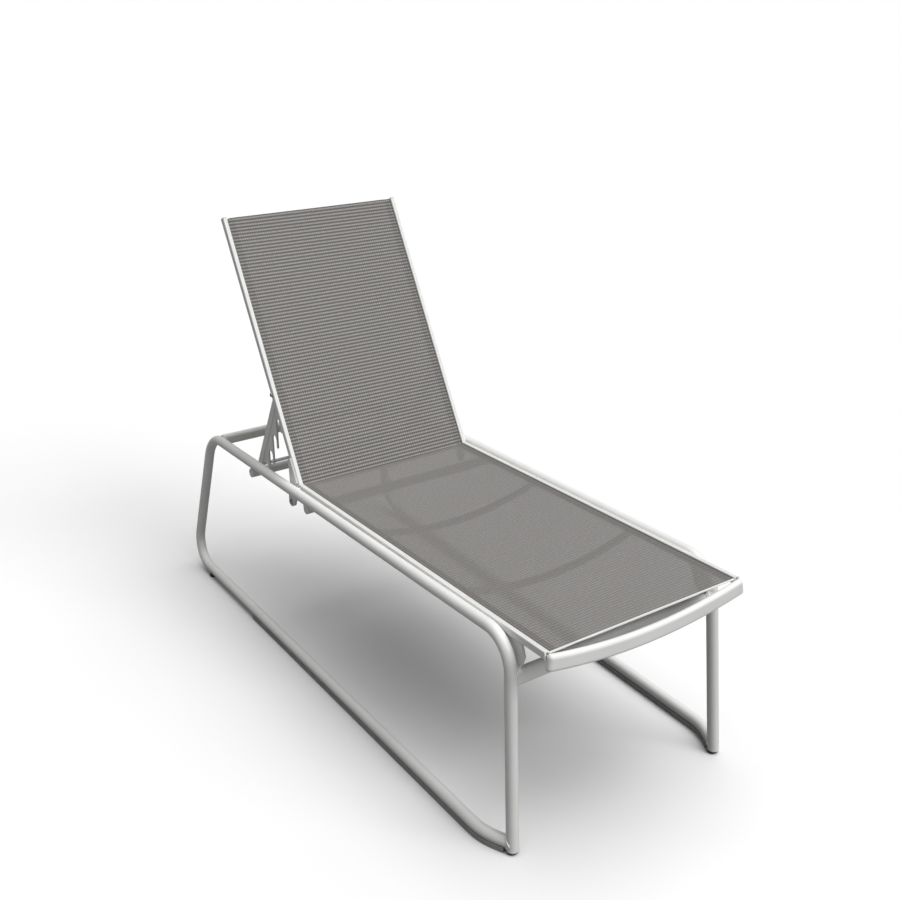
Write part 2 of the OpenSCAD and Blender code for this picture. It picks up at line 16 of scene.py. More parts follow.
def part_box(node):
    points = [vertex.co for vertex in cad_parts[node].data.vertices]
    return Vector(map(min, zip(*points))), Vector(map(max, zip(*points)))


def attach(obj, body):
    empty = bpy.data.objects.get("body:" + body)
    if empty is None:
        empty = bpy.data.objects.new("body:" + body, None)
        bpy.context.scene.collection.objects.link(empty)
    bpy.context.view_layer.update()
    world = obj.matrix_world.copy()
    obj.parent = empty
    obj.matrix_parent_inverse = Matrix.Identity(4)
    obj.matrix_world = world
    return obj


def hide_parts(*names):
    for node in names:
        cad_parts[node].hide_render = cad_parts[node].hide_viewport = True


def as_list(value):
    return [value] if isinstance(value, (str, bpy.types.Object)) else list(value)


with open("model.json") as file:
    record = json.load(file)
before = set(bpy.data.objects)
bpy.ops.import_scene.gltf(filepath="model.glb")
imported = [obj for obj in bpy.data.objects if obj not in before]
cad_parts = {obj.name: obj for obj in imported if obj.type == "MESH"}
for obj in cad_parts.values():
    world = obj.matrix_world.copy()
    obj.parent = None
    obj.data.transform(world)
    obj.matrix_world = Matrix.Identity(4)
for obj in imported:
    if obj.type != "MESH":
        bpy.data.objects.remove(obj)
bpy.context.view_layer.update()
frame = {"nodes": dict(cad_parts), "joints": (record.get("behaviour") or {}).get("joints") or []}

bl_info = {
    "name": "Sling Chaise Lounge",
    "version": (1, 0, 0),
    "blender": (4, 5, 0),
    "location": "3D View > Sidebar > Chaise",
    "description": "Dresses the frame of a sling chaise lounge and sets its stage",
    "category": "Object",
}

MM = 0.001

# The planes of the seat and of the raised back, placed from the hinge pin
HINGE = Vector(next(joint["pos_m"] for joint in frame["joints"] if joint["name"] == "back_recline"))
DECK_TILT = math.radians(2.2)
BACK_ANGLE = math.radians(62)
PIVOT_BACK = 34 * MM
PIVOT_DROP = 55 * MM
DECK_TURN = Matrix.Rotation(-DECK_TILT, 4, "X")
DECK = Matrix.Translation(HINGE) @ DECK_TURN @ Matrix.Translation((0, -PIVOT_BACK, PIVOT_DROP))
BACK_RISE = PIVOT_DROP * math.cos(BACK_ANGLE) + PIVOT_BACK * math.sin(BACK_ANGLE)
BACK_START = PIVOT_DROP * math.sin(BACK_ANGLE) - PIVOT_BACK * math.cos(BACK_ANGLE)
BACK = (
    Matrix.Translation(HINGE)
    @ Matrix.Rotation(BACK_ANGLE - DECK_TILT, 4, "X")
    @ Matrix.Translation((0, BACK_START, BACK_RISE))
)

# Sizes of the frame that the added pieces sit on
RAIL_IN = 260 * MM
RAIL_W = 12 * MM
RAIL_LIP = 5 * MM
RAIL_BASE = 13 * MM
SEAT_L = 1057 * MM
BACK_L = 756 * MM
SPLINE_X = RAIL_IN + RAIL_W / 2
SPLINE_R = 2.5 * MM
TUBE_R = 14 * MM
BAR_R = 12.5 * MM
TUBE_DROP = 6 * MM
HINGE_BAR_DROP = RAIL_BASE + BAR_R
CATCH_BAR_DROP = 31.5 * MM
HEM_INSET = 4 * MM
CREASE_INSET = 1 * MM
RAIL_REAR_GAP = 10 * MM

PAINTED = (
    "left_side_frame right_side_frame rear_crossbar catch_crossbar hinge_crossbar front_crossbar "
    "rail_brackets left_seat_rail right_seat_rail foot_bow foot_bow_caps front_seat_bow "
    "rear_seat_bow hinge_tabs foot_hem_bar left_back_rail right_back_rail back_top_bow "
    "back_bottom_tube hinge_plates left_prop_leg right_prop_leg prop_tie_rod"
).split()
MOULDED = {
    "foot_glides": "plastic",
    "seat_splines": "plastic",
    "back_splines": "plastic",
    "skid_strips": "strip_plastic",
    "seat_rail_plugs": "pale_plastic",
    "back_rail_plugs": "pale_plastic",
}
PLATED = "hinge_washers pivot_washers".split()


def linear(shade):
    """An sRGB hex colour as the linear RGBA that shaders take."""
    parts = [int(shade[i : i + 2], 16) / 255 for i in (1, 3, 5)]
    return [p / 12.92 if p <= 0.04045 else ((p + 0.055) / 1.055) ** 2.4 for p in parts] + [1.0]


def colour_prop(name, description, shade):
    return FloatVectorProperty(
        name=name, description=description, subtype="COLOR", size=4, min=0, max=1, default=linear(shade)
    )


def length_prop(name, description, millimetres):
    return FloatProperty(
        name=name, description=description, default=millimetres * MM, min=0, unit="LENGTH", precision=5
    )


class ChaiseSizes(bpy.types.PropertyGroup):
    """Sizes of the cloth, its hems and the welds."""

    cloth_t: length_prop("Cloth thickness", "Thickness of one layer of the coated mesh", 0.5)
    rib_pitch: length_prop("Rib pitch", "Distance between the cross ribs of the weave", 9.6)
    # The crossings of the real cloth are about 2 mm apart, so they are drawn in groups that show
    yarn_pitch: length_prop("Yarn pitch", "Distance between the yarn groups along a rib", 7)
    seat_dip: length_prop("Seat dip", "Dip of the seat cloth between its rails", 4)
    back_dip: length_prop("Back dip", "Dip of the back cloth between its rails", 3)
    side_hem: length_prop("Side hem", "Width of the hem that comes back from each rail", 22)
    end_hem: length_prop("End hem", "Width of the hem turned under at an end", 16)
    stitch_l: length_prop("Stitch length", "Length of one stitch of the end hems", 3.4)
    bead_r: length_prop("Weld bead", "Radius of a weld bead", 1.7)
    ripple: length_prop("Weld ripple", "Distance between the ripples of a weld bead", 3)


class ChaiseColours(bpy.types.PropertyGroup):
    """Colours of the finishes."""

    coat: colour_prop("Powder coat", "White of the coated frame", "#EFEFED")
    # The cloth's two greys are painted light on the raised ribs and painted shade in the furrows
    cloth_lit_ribs: colour_prop("Cloth ribs", "Light grey of the raised ribs", "#B0ADAA")
    cloth_shaded_furrows: colour_prop("Cloth furrows", "Dark grey between the ribs", "#3C3A38")
    glide: colour_prop("Glides", "Dark grey of the glides and splines", "#4A4A4B")
    strip: colour_prop("Skid strips", "Grey of the skid strips", "#B2B2B3")
    plug: colour_prop("Plugs", "Pale grey of the rail plugs", "#D2D2D0")
    steel: colour_prop("Steel", "Colour of the bolts, nuts and screws", "#B9BABC")
    thread: colour_prop("Thread", "Colour of the hem stitching", "#8A8783")
    floor: colour_prop("Floor", "Pale floor of the stage", "#F4F4F4")


class ChaiseStage(bpy.types.PropertyGroup):
    """Light and camera."""

    key: FloatProperty(name="Lights", description="Strength of the soft boxes", default=1.06, min=0)
    sky: FloatProperty(
        name="Sky light", description="Strength of the light from all round", default=0.15, min=0
    )
    lens: FloatProperty(
        name="Lens", description="Focal length of the camera in millimetres", default=45, min=1, unit="CAMERA"
    )


def fill(tree, node, sockets):
    """Gives a node's inputs, by name or number, their values or the outputs that they read."""
    for key, value in sockets.items():
        if isinstance(value, bpy.types.NodeSocket):
            tree.links.new(value, node.inputs[key])
        else:
            node.inputs[key].default_value = value


def add(tree, kind, sockets=None, **settings):
    """Adds a node with its settings and its inputs."""
    made = tree.nodes.new(kind)
    for key, value in settings.items():
        setattr(made, key, value)
    fill(tree, made, sockets or {})
    return made


def start_material(name):
    """A new material with its shader linked to the output: the material, its tree and the shader."""
    material = bpy.data.materials.new(name)
    material.use_nodes = True
    tree = material.node_tree
    tree.nodes.clear()
    shader = add(tree, "ShaderNodeBsdfPrincipled")
    add(tree, "ShaderNodeOutputMaterial", {"Surface": shader.outputs[0]})
    return material, tree, shader


def ranged(tree, value, low, high, to_low, to_high, **settings):
    """A value that runs from low to high, made to run from to_low to to_high."""
    sockets = {"Value": value, "From Min": low, "From Max": high, "To Min": to_low, "To Max": to_high}
    return add(tree, "ShaderNodeMapRange", sockets, **settings).outputs[0]


def speckled(tree, place, size, low, high):
    """Noise with spots of this size, made to run from low to high."""
    noise = add(tree, "ShaderNodeTexNoise", {"Vector": place, "Scale": 1 / size, "Detail": 2.0})
    # Nearly all of the noise lies between 0.3 and 0.7
    return ranged(tree, noise.outputs["Fac"], 0.3, 0.7, low, high)


def blended(tree, share, one, two):
    """A colour that runs from one to two as share runs from 0 to 1."""
    return add(tree, "ShaderNodeMix", {0: share, 6: one, 7: two}, data_type="RGBA").outputs[2]


def darker(colour, share):
    """A colour with this share of its brightness."""
    return [part * share for part in colour[:3]] + [1.0]


def bumped(tree, height, strength, depth):
    """A surface that follows height, over this depth."""
    return add(tree, "ShaderNodeBump", {"Height": height, "Strength": strength, "Distance": depth}).outputs[0]


def powder_coat(colours):
    """White polyester powder, sprayed on and baked: it flows out to a semi-gloss skin whose faint
    orange peel breaks up the edges of the highlights."""
    material, tree, shader = start_material("powder_coated_aluminium")
    place = add(tree, "ShaderNodeTexCoord").outputs["Object"]
    white = list(colours.coat)
    # Real orange peel is about 1 mm across; it is drawn at 2.5 mm so that it shows
    peel = add(tree, "ShaderNodeTexNoise", {"Vector": place, "Scale": 1 / (2.5 * MM), "Detail": 1.0})
    sockets = {
        "Base Color": blended(tree, speckled(tree, place, 90 * MM, 0, 1), darker(white, 0.955), white),
        "Roughness": speckled(tree, place, 30 * MM, 0.34, 0.42),
        "IOR": 1.5,
        "Normal": bumped(tree, peel.outputs["Fac"], 0.06, 0.4 * MM),
    }
    fill(tree, shader, sockets)
    return material


def coated_mesh(colours, sizes, name, relief, cover):
    """Polyester yarn coated with PVC and woven into cross ribs: the raised ribs and the yarn's
    crossings that dot them are painted lighter, as painted light, and the furrows darker, as painted
    shade, while the open furrows let a little of what lies behind show through. Relief is the share
    of that painted light and shade that shows, less where the ribs are pulled flat, and cover is how
    much of a furrow the yarn fills."""
    material, tree, shader = start_material(name)
    place = add(tree, "ShaderNodeUVMap", uv_map="UVMap").outputs[0]
    axes = add(tree, "ShaderNodeSeparateXYZ", {0: place})

    def times(one, two):
        return add(tree, "ShaderNodeMath", {0: one, 1: two}, operation="MULTIPLY").outputs[0]

    def wave(along, pitch):
        turns = times(along, 2 * math.pi / pitch)
        return add(tree, "ShaderNodeMath", {0: turns}, operation="SINE").outputs[0]

    def stretched(value, low, high, to_low, to_high):
        return ranged(tree, value, low, high, to_low, to_high, interpolation_type="SMOOTHSTEP")

    # Painted light and shade of the weave: lighter where the ribs and yarn crossings stand up, darker in the
    # furrows
    rib = stretched(wave(axes.outputs[1], sizes.rib_pitch), -0.55, 0.65, 0.5 - relief / 2, 0.5 + relief / 2)
    yarn = stretched(wave(axes.outputs[0], sizes.yarn_pitch), -0.9, 0.7, 0.76, 1.12)
    raised = times(rib, yarn)
    # Uneven yarn shows as short streaks along the ribs
    streaks = add(
        tree, "ShaderNodeMapping", {"Vector": place, "Scale": (1 / (6 * MM), 1 / sizes.rib_pitch, 1)}
    )
    uneven = speckled(tree, streaks.outputs[0], 1, 0.9, 1.13)
    # Over the side hems the cloth lies double and no light from behind brightens it, so its
    # colour there is painted darker: painted shade
    side = add(tree, "ShaderNodeMath", {0: axes.outputs[0]}, operation="ABSOLUTE").outputs[0]
    hem_in = RAIL_IN - sizes.side_hem
    hem_painted_shade = stretched(side, hem_in, hem_in + 3 * MM, 1.0, 0.84)
    light = times(times(raised, uneven), hem_painted_shade)
    sockets = {
        # The ribs' painted light and the furrows' painted shade, with the side hems' painted shade
        "Base Color": blended(tree, light, list(colours.cloth_shaded_furrows), list(colours.cloth_lit_ribs)),
        # The holes are about 1 mm wide, too fine to show, so a furrow is thinned over its whole width
        "Alpha": stretched(rib, 0, 1, cover, cover + 0.06),
        "Normal": bumped(tree, raised, 0.3, 0.5 * MM),
        "Roughness": 0.62,
        "IOR": 1.53,
        "Specular IOR Level": 0.3,
    }
    fill(tree, shader, sockets)
    return material


def moulded_plastic(shade, name):
    """Injection-moulded polypropylene: the spark-eroded mould leaves an even matt grain."""
    material, tree, shader = start_material(name)
    place = add(tree, "ShaderNodeTexCoord").outputs["Object"]
    grey = list(shade)
    # Mould grain is about 0.3 mm; it is drawn at 1.2 mm so that it shows
    grain = add(tree, "ShaderNodeTexVoronoi", {"Vector": place, "Scale": 1 / (1.2 * MM)})
    sockets = {
        "Base Color": blended(tree, speckled(tree, place, 20 * MM, 0, 1), grey, darker(grey, 0.85)),
        "Roughness": speckled(tree, place, 10 * MM, 0.5, 0.62),
        "IOR": 1.49,
        "Normal": bumped(tree, grain.outputs["Distance"], 0.15, 0.2 * MM),
    }
    fill(tree, shader, sockets)
    return material


def plated_steel(colours):
    """Zinc-plated steel, turned and cold-formed: fine turning marks run round each face."""
    material, tree, shader = start_material("zinc_plated_steel")
    place = add(tree, "ShaderNodeTexCoord").outputs["Object"]
    bright = list(colours.steel)
    # Turning marks are about 0.1 mm apart; they are drawn 0.8 mm apart so that they show
    scale = (1 / (0.8 * MM), 1 / (10 * MM), 1 / (10 * MM))
    marks = add(tree, "ShaderNodeMapping", {"Vector": place, "Scale": scale})
    lines = add(tree, "ShaderNodeTexNoise", {"Vector": marks.outputs[0], "Scale": 1.0, "Detail": 1.0})
    sockets = {
        "Base Color": blended(tree, speckled(tree, place, 6 * MM, 0, 1), darker(bright, 0.8), bright),
        "Roughness": speckled(tree, place, 4 * MM, 0.28, 0.4),
        "Metallic": 1.0,
        "Normal": bumped(tree, lines.outputs["Fac"], 0.12, 0.2 * MM),
    }
    fill(tree, shader, sockets)
    return material


def spun_thread(colours):
    """Bonded polyester sewing thread, three-ply and twisted: the slanting glints down each stitch
    are painted into its colour, as painted highlight and shade.
    """
    material, tree, shader = start_material("bonded_polyester_thread")
    place = add(tree, "ShaderNodeTexCoord").outputs["Object"]
    shade = list(colours.thread)
    # Each ply of the real thread is finer; here the painted glints cross a stitch every 2.2 mm. A
    # diagonal wave of scale 1 repeats every 2 pi / 10
    scale = 2 * math.pi / 10 / (2.2 * MM)
    ply_glints = add(tree, "ShaderNodeTexWave", {"Vector": place, "Scale": scale}, bands_direction="DIAGONAL")
    sockets = {
        # The twist painted as lighter glints and darker bands: painted highlight and shade
        "Base Color": blended(tree, ply_glints.outputs["Fac"], darker(shade, 0.7), shade),
        "Roughness": 0.55,
    }
    fill(tree, shader, sockets)
    return material


# What the floor throws back of the light that falls on it
FLOOR_BOUNCE = (0.24, 0.24, 0.24, 1)


def pale_floor(colours):
    """A matt painted studio floor: almost no gloss, and the faintest unevenness of a rolled coat."""
    material, tree, shader = start_material("painted_studio_floor")
    place = add(tree, "ShaderNodeTexCoord").outputs["Object"]
    pale = list(colours.floor)
    painted = blended(tree, speckled(tree, place, 400 * MM, 0, 1), darker(pale, 0.99), pale)
    # The floor is seen pale but throws little light back up, as paper burnt out to white in a
    # photograph does, so that the undersides keep their shade
    seen = add(tree, "ShaderNodeLightPath").outputs["Is Camera Ray"]
    sockets = {
        "Base Color": blended(tree, seen, FLOOR_BOUNCE, painted),
        "Roughness": 0.9,
        "Specular IOR Level": 0.1,
    }
    fill(tree, shader, sockets)
    return material


# What each finish is made by
MAKERS = {
    "coat": lambda colours, sizes: powder_coat(colours),
    # The back's ribs get more painted light and shade than the seat's pulled-flat ribs
    "back_cloth": lambda colours, sizes: coated_mesh(colours, sizes, "woven_coated_mesh", 0.52, 0.86),
    "seat_cloth": lambda colours, sizes: coated_mesh(
        colours, sizes, "woven_coated_mesh_pulled_flat", 0.12, 0.76
    ),
    "plastic": lambda colours, sizes: moulded_plastic(colours.glide, "dark_moulded_polypropylene"),
    "strip_plastic": lambda colours, sizes: moulded_plastic(colours.strip, "grey_moulded_polypropylene"),
    "pale_plastic": lambda colours, sizes: moulded_plastic(colours.plug, "pale_moulded_polypropylene"),
    "steel": lambda colours, sizes: plated_steel(colours),
    "thread": lambda colours, sizes: spun_thread(colours),
    "floor": lambda colours, sizes: pale_floor(colours),
}
made_materials = {}


def material_for(finish, scene):
    """The material of a finish, made once."""
    if finish not in made_materials:
        made_materials[finish] = MAKERS[finish](scene.chaise_colours, scene.chaise_sizes)
    return made_materials[finish]


def finish_node(name, finish, scene):
    """Gives a node of the frame its finish."""
    mesh = frame["nodes"][name].data
    mesh.materials.clear()
    mesh.materials.append(material_for(finish, scene))


def build(name, bm, finish, scene, crease=35):
    """Turns a bmesh into a piece of the scene, smooth but for edges sharper than crease degrees."""
    bmesh.ops.recalc_face_normals(bm, faces=bm.faces)
    mesh = bpy.data.meshes.new(name)
    bm.to_mesh(mesh)
    bm.free()
    mesh.polygons.foreach_set("use_smooth", [True] * len(mesh.polygons))
    mesh.set_sharp_from_angle(angle=math.radians(crease))
    mesh.materials.append(material_for(finish, scene))
    piece = bpy.data.objects.new(name, mesh)
    bpy.context.scene.collection.objects.link(piece)
    return piece


def loft(bm, rows, closed_ends=False):
    """Joins closed rings of points with faces, and either caps the ends or joins them too."""
    made = [[bm.verts.new(point) for point in row] for row in rows]
    count = len(made[0])
    pairs = list(zip(made, made[1:])) + ([(made[-1], made[0])] if closed_ends else [])
    for one, two in pairs:
        for i in range(count):
            j = (i + 1) % count
            bm.faces.new((one[i], one[j], two[j], two[i]))
    if not closed_ends:
        bm.faces.new(made[0])
        bm.faces.new(made[-1])
    return made


def evenly(low, high, count):
    return [low + (high - low) * i / (count - 1) for i in range(count)]


def runs(line, start=0.0, way=1):
    """How far along a line each of its points lies, from start on."""
    found = [start]
    for a, b in zip(line, line[1:]):
        found.append(found[-1] + way * math.dist(a, b))
    return found


# The slings

# How far the cloth stands off its spline and off the plane between its two layers, and the inner
# radius of an end hem's fold
LAYER_GAP = 0.03 * MM
FOLD_GAP = 0.05 * MM
# Lengths over which the dip fades towards a held end, and over which the span reaches out
DIP_FADE = 160 * MM
REACH_FADE = 60 * MM
# The span reaches out only this far inside the rails
REACH_INSET = 4 * MM
# How far the end hems and their stitching stay inside the side hems
END_HEM_INSET = 1 * MM
STITCH_INSET = 4 * MM
# Points across the half span, round a spline, over a side hem, and rows along the cloth
SPAN_POINTS, LOOP_POINTS, SIDE_HEM_POINTS, CLOTH_ROWS = 27, 19, 6, 44
# Points over the strip turned under, round its fold, and rows across the sling
TUCK_POINTS, FOLD_POINTS, END_HEM_ROWS = 8, 7, 49
# The sewing thread: its radius, its height as a share of its width, and its sides
THREAD_R = 0.32 * MM
THREAD_FLAT = 0.7
THREAD_SIDES = 6
# A stitch along its length: the share of it, and the share of the thread's radius there
STITCH_SHAPE = ((0, 0.35), (0.12, 0.85), (0.5, 1), (0.88, 0.85), (1, 0.35))
# The step from stitch to stitch in lengths, and the seam's place as a share of the end hem's width
STITCH_STEP = 1.25
SEAM_SHARE = 0.72


def skins(line, thickness):
    """Each point of a line with the step from it to one side of a cloth of this thickness."""
    found = []
    for i, (a, b) in enumerate(line):
        before, after = line[max(0, i - 1)], line[min(len(line) - 1, i + 1)]
        run, rise = after[0] - before[0], after[1] - before[1]
        scale = thickness / 2 / math.hypot(run, rise)
        found.append((a, b, -rise * scale, run * scale))
    return found


def lay_flat(bm, uv, where):
    """Sets the UVs from each vertex's place on the flat cloth, in metres."""
    for face in bm.faces:
        for corner in face.loops:
            corner[uv].uv = where[corner.vert]


class Sling:
    """One sling as a ribbon: its hem, the loop round its spline, its span, and the same again.
    Slack is the share of the dip that stays at each end, and flaps are how far the cloth reaches
    past its side hems there, both with the start first."""

    def __init__(self, sizes, plane, start, end, dip, slack, flaps, finish):
        self.plane, self.start, self.end, self.dip = plane, start, end, dip
        self.slack, self.finish = slack, finish
        # Keyed by whether it is the edge at the end
        self.edges = {False: start - flaps[0], True: end + flaps[1]}
        self.t = sizes.cloth_t
        self.lift = self.t / 2 + LAYER_GAP
        self.loop_r = SPLINE_R + self.t / 2 + LAYER_GAP
        self.hem_in = RAIL_IN - sizes.side_hem
        self.tuck = sizes.end_hem

    def sag(self, x, y):
        """Dip of the cloth at a point: none at the rails, and less towards an end that is held."""
        dip = self.dip * max(0.0, 1 - (x / RAIL_IN) ** 2)
        for slack, gap in zip(self.slack, (y - self.start, self.end - y)):
            near = min(1.0, max(0.0, gap / DIP_FADE))
            dip *= slack + (1 - slack) * math.sin(near * math.pi / 2)
        return dip

    def reach(self, x, y, on_span):
        """Place along the sling: between the rails the cloth reaches a little past its side hems."""
        if not on_span or abs(x) > RAIL_IN - REACH_INSET:
            return y
        before = (self.edges[False] - self.start) * max(0.0, 1 - (y - self.start) / REACH_FADE)
        after = (self.edges[True] - self.end) * max(0.0, 1 - (self.end - y) / REACH_FADE)
        return y + before + after

    def half_line(self):
        """The line from the middle out to the rail, round the spline and back to the hem's edge."""
        opening = math.asin(self.lift / self.loop_r)
        meet = SPLINE_X - self.loop_r * math.cos(opening)
        span = [(x, self.lift) for x in evenly(0, meet, SPAN_POINTS)[:-1]]
        turns = evenly(math.pi - opening, opening - math.pi, LOOP_POINTS)
        loop = [(SPLINE_X + self.loop_r * math.cos(a), self.loop_r * math.sin(a)) for a in turns]
        hem = [(x, -self.lift) for x in evenly(meet, self.hem_in, SIDE_HEM_POINTS)[1:]]
        return span + loop + hem

    def line(self):
        half = self.half_line()
        return [(-x, z) for x, z in reversed(half[1:])] + half

    def width(self):
        return runs(self.line())[-1]

    def cloth(self, name, scene):
        """The ribbon, given its thickness, with UVs that run in metres over the cloth."""
        line = self.line()
        places = list(zip(runs(line, -self.width() / 2), skins(line, self.t)))
        bm = bmesh.new()
        uv = bm.loops.layers.uv.new("UVMap")
        where = {}
        rows = []
        for y in evenly(self.start, self.end, CLOTH_ROWS):
            upper, lower = [], []
            for across, (x, z, step_x, step_z) in places:
                drop = self.sag(x, y)
                along = self.reach(x, y, z > 0)
                for way, side in ((1, upper), (-1, lower)):
                    point = (x + way * step_x, along, z + way * step_z - drop)
                    vert = bm.verts.new(self.plane @ Vector(point))
                    where[vert] = (across, along)
                    side.append(vert)
            rows.append((upper, lower))
        last = len(line) - 1
        for (up, low), (next_up, next_low) in zip(rows, rows[1:]):
            for i in range(last):
                bm.faces.new((up[i], up[i + 1], next_up[i + 1], next_up[i]))
                bm.faces.new((low[i + 1], low[i], next_low[i], next_low[i + 1]))
            for i in (0, last):
                bm.faces.new((up[i], next_up[i], next_low[i], low[i]))
        for up, low in (rows[0], rows[-1]):
            for i in range(last):
                bm.faces.new((up[i], low[i], low[i + 1], up[i + 1]))
        lay_flat(bm, uv, where)
        return build(name, bm, self.finish, scene)

    def hem(self, name, at_end, scene):
        """The strip turned under at one end, with its rolled edge."""
        way = 1 if at_end else -1
        edge = self.edges[at_end]
        roll = self.t / 2 + FOLD_GAP
        low = self.lift - 2 * roll
        line = [(edge - way * self.tuck * share, low) for share in evenly(1, 0, TUCK_POINTS)]
        for a in evenly(-math.pi / 2, math.pi / 2, FOLD_POINTS)[1:]:
            line.append((edge + way * roll * math.cos(a), self.lift - roll + roll * math.sin(a)))
        # Round the strip: over one side of the line, and back over the other
        over = list(zip(runs(line, edge, way), skins(line, self.t)))
        outline = [(along, y + step_y, z + step_z) for along, (y, z, step_y, step_z) in over]
        outline += [(along, y - step_y, z - step_z) for along, (y, z, step_y, step_z) in reversed(over)]
        bm = bmesh.new()
        uv = bm.loops.layers.uv.new("UVMap")
        rows, places = [], []
        for x in evenly(-self.hem_in + END_HEM_INSET, self.hem_in - END_HEM_INSET, END_HEM_ROWS):
            drop = self.sag(x, edge)
            rows.append([self.plane @ Vector((x, y, z - drop)) for _, y, z in outline])
            places += [(x, along) for along, _, _ in outline]
        made = [vert for row in loft(bm, rows) for vert in row]
        lay_flat(bm, uv, dict(zip(made, places)))
        return build(name, bm, self.finish, scene)

    def stitch(self, bm, x, y, z, length):
        """One stitch from x on: a flattened thread that dives into the cloth at both ends."""
        rows = []
        for share, size in STITCH_SHAPE:
            row = []
            for k in range(THREAD_SIDES):
                a = 2 * math.pi * k / THREAD_SIDES
                out, up = THREAD_R * size * math.cos(a), THREAD_R * size * math.sin(a) * THREAD_FLAT
                row.append(self.plane @ Vector((x + length * share, y + out, z + up)))
            rows.append(row)
        loft(bm, rows)

    def stitches(self, name, ends, length, scene):
        """Lock stitches along the end hems, on both faces of the cloth."""
        bm = bmesh.new()
        step = length * STITCH_STEP
        count = int(2 * (self.hem_in - STITCH_INSET) / step)
        top = self.lift + self.t / 2
        under = top - 2 * (self.t + 2 * FOLD_GAP)
        for at_end in ends:
            edge = self.edges[at_end]
            y = edge - (1 if at_end else -1) * self.tuck * SEAM_SHARE
            for z in (top, under):
                for k in range(count):
                    x = (k - count / 2) * step
                    self.stitch(bm, x, y, z - self.sag(x + length / 2, edge), length)
        return build(name, bm, "thread", scene)


def seat_sling_of(sizes):
    return Sling(
        sizes,
        plane=DECK,
        start=-SEAT_L + HEM_INSET,
        end=-RAIL_REAR_GAP - CREASE_INSET,
        dip=sizes.seat_dip,
        slack=(0.0, 0.7),
        flaps=(0, 9.3 * MM),
        finish="seat_cloth",
    )


def back_sling_of(sizes):
    return Sling(
        sizes,
        plane=BACK,
        start=CREASE_INSET,
        end=BACK_L - HEM_INSET,
        dip=sizes.back_dip,
        slack=(0.7, 0.35),
        flaps=(8 * MM, 4.5 * MM),
        finish="back_cloth",
    )


class CHAISE_OT_slings(bpy.types.Operator):
    """Make the seat and back slings with their hems and stitching"""

    bl_idname = "chaise.slings"
    bl_label = "Slings"

    def execute(self, context):
        scene = context.scene
        sizes = scene.chaise_sizes
        jobs = (
            ("seat", seat_sling_of(sizes), (True,), "frame", ("left_seat_rail", "right_seat_rail")),
            ("back", back_sling_of(sizes), (False, True), "backrest", ("left_back_rail", "right_back_rail")),
        )
        for part, sling, ends, body, rails in jobs:
            cloth = sling.cloth(f"{part}_sling_cloth", scene)
            hems = [sling.hem(f"{part}_{'upper' if e else 'lower'}_hem", e, scene) for e in ends]
            thread = sling.stitches(f"{part}_hem_stitches", ends, sizes.stitch_l, scene)
            for piece in (cloth, thread, *hems):
                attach(piece, body)
            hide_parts(f"{part}_sling")
            sling.width()
            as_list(rails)
        return {"FINISHED"}


# The welds

# Steps along a ripple, sides of a bead, and a ripple's height as a share of the bead's radius
RIPPLE_STEPS, BEAD_SIDES = 5, 10
RIPPLE_RISE = 0.13
# An open bead tapers: its radius at the tip, and what each step inwards adds, as shares
TIP_SIZE, TIP_STEP = 0.45, 0.2


def bead(bm, points, radius, ripple, closed):
    """A weld bead along a line: a tube whose skin rises and falls with each ripple."""
    line = [Vector(point) for point in points]
    if closed:
        line.append(line[0])
    run = runs(line)
    total = run[-1]
    steps = max(2, round(total / ripple)) * RIPPLE_STEPS
    centres = []
    for k in range(steps if closed else steps + 1):
        target = total * k / steps
        # The tiny allowance keeps a target that rounding leaves just short of its point
        i = max(j for j in range(len(line) - 1) if run[j] <= target + 1e-12)
        gap = run[i + 1] - run[i]
        centres.append(line[i].lerp(line[i + 1], (target - run[i]) / gap if gap else 0))
    rows = []
    side = None
    for k, centre in enumerate(centres):
        if closed:
            along = centres[(k + 1) % steps] - centres[k - 1]
        else:
            along = centres[min(k + 1, steps)] - centres[max(k - 1, 0)]
        along.normalize()
        if side is None:
            side = along.orthogonal()
        side = (side - along * side.dot(along)).normalized()
        other = along.cross(side)
        size = radius * (1 + RIPPLE_RISE * math.cos(2 * math.pi * k / RIPPLE_STEPS))
        if not closed:
            size *= min(1.0, TIP_SIZE + TIP_STEP * min(k, steps - k))
        rows.append(ring_about(centre, side, other, size, BEAD_SIDES))
    loft(bm, rows, closed_ends=closed)


def meeting(ring, way, centre, axis, radius, far=False):
    """Where lines from the ring's points along way meet a round tube, at its near or its far side."""
    axis = axis.normalized()
    flat_way = way - axis * way.dot(axis)
    a = flat_way.dot(flat_way)
    found = []
    for point in ring:
        gap = point - centre
        flat_gap = gap - axis * gap.dot(axis)
        b = 2 * flat_gap.dot(flat_way)
        c = flat_gap.dot(flat_gap) - radius * radius
        left = b * b - 4 * a * c
        if left >= 0:
            found.append(point + way * ((-b + (1 if far else -1) * math.sqrt(left)) / (2 * a)))
    return found


def mirrored(points):
    return [Vector((-point.x, point.y, point.z)) for point in points]


def ring_about(centre, one, two, radius, count=40, sweep=2 * math.pi):
    """Points of a circle, or of its first part, in the plane of two unit vectors."""
    gaps = count if sweep == 2 * math.pi else count - 1
    turns = [sweep * k / gaps for k in range(count)]
    return [centre + radius * (math.cos(a) * one + math.sin(a) * two) for a in turns]


def oval_about(width, height):
    """Points of an upright flat oval about zero, as pairs of Y and Z."""
    flat = (height - width) / 2
    turns = [2 * math.pi * k / OVAL_POINTS for k in range(OVAL_POINTS)]
    return [
        (width / 2 * math.cos(a), width / 2 * math.sin(a) + (flat if math.sin(a) >= 0 else -flat))
        for a in turns
    ]


